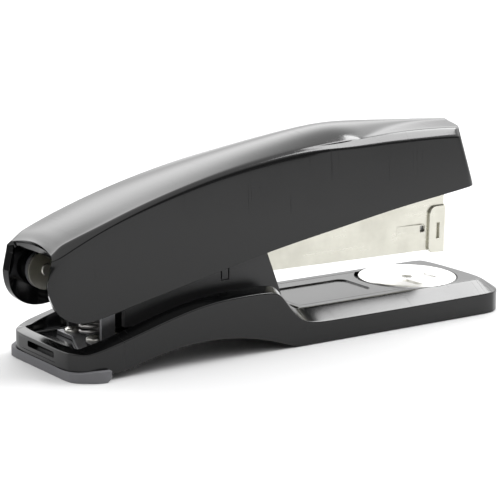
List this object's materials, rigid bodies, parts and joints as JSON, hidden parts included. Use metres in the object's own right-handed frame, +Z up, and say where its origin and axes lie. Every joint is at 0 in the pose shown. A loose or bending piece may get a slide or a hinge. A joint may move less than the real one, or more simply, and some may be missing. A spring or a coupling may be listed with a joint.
{
  "type": "half-strip desk stapler",
  "caption": "Black plastic half-strip desk stapler with a steel magazine, a turning anvil disc, an open rear hinge and a cover that lifts for loading.",
  "frame": {"origin": "point of the table under the middle of the anvil disc, on the front foot's sole", "axes": "+X towards the nose, +Z up, +Y to the left of someone who looks along +X"},
  "size_m": [0.1458, 0.041, 0.0559],
  "materials": {
    "gloss_black": "gloss black moulded plastic",
    "satin_black": "satin black moulded plastic",
    "matte_black": "dull black nylon",
    "foot_rubber": "mid grey soft rubber",
    "polished_steel": "bright nickel-plated steel",
    "nickel_steel": "warm nickel-plated sheet steel",
    "plated_steel": "zinc-plated sheet steel",
    "spring_steel": "oiled spring steel",
    "zinc_screw": "zinc-plated fastener steel",
    "staple_wire": "galvanised staple wire",
    "blade_steel": "hardened blade steel"
  },
  "bodies": {
    "base": {"base_shell": "gloss_black", "deck_panel": "gloss_black", "rear_foot": "foot_rubber", "front_foot": "foot_rubber", "anvil_spring": "spring_steel", "hinge_bracket": "plated_steel", "bracket_screws": "zinc_screw", "hinge_studs": "zinc_screw", "return_spring": "spring_steel"},
    "anvil": {"anvil_disc": "polished_steel", "anvil_stud": "polished_steel"},
    "magazine": {"magazine_channel": "nickel_steel", "nose_plate": "nickel_steel", "staple_rail": "plated_steel", "rail_rivets": "zinc_screw", "staple_strip": "staple_wire", "guide_rod": "plated_steel", "rod_bridges": "plated_steel", "magazine_housing": "satin_black"},
    "pusher": {"pusher": "matte_black", "pusher_spring": "spring_steel"},
    "cover": {"cover_shell": "gloss_black", "driver_carrier": "plated_steel", "carrier_screws": "zinc_screw", "driver_blade": "blade_steel", "blade_rivets": "zinc_screw", "lift_leaf": "spring_steel"}
  },
  "joints": [
    {"name": "magazine_swing", "type": "hinge", "parent": "base", "child": "magazine", "pos_m": [-0.1133, 0, 0.0236], "axis": [0, -1, 0], "range_deg": [-3.6, 30], "stiffness_Nm_per_rad": 1.6, "springref_deg": 2.58, "deforming": ["return_spring"]},
    {"name": "cover_swing", "type": "hinge", "parent": "magazine", "child": "cover", "pos_m": [-0.1133, 0, 0.0236], "axis": [0, -1, 0], "range_deg": [-4, 60], "stiffness_Nm_per_rad": 0.9, "springref_deg": 1.6, "deforming": ["lift_leaf"]},
    {"name": "pusher_slide", "type": "slide", "parent": "magazine", "child": "pusher", "axis": [0.9999, 0, -0.015], "range_m": [-0.055, 0], "stiffness_N_per_m": 60, "springref_m": 0.03, "deforming": ["pusher_spring"]},
    {"name": "anvil_turn", "type": "hinge", "parent": "base", "child": "anvil", "pos_m": [0, 0, 0.0085], "axis": [0, 0, 1], "continuous": true}
  ]
}
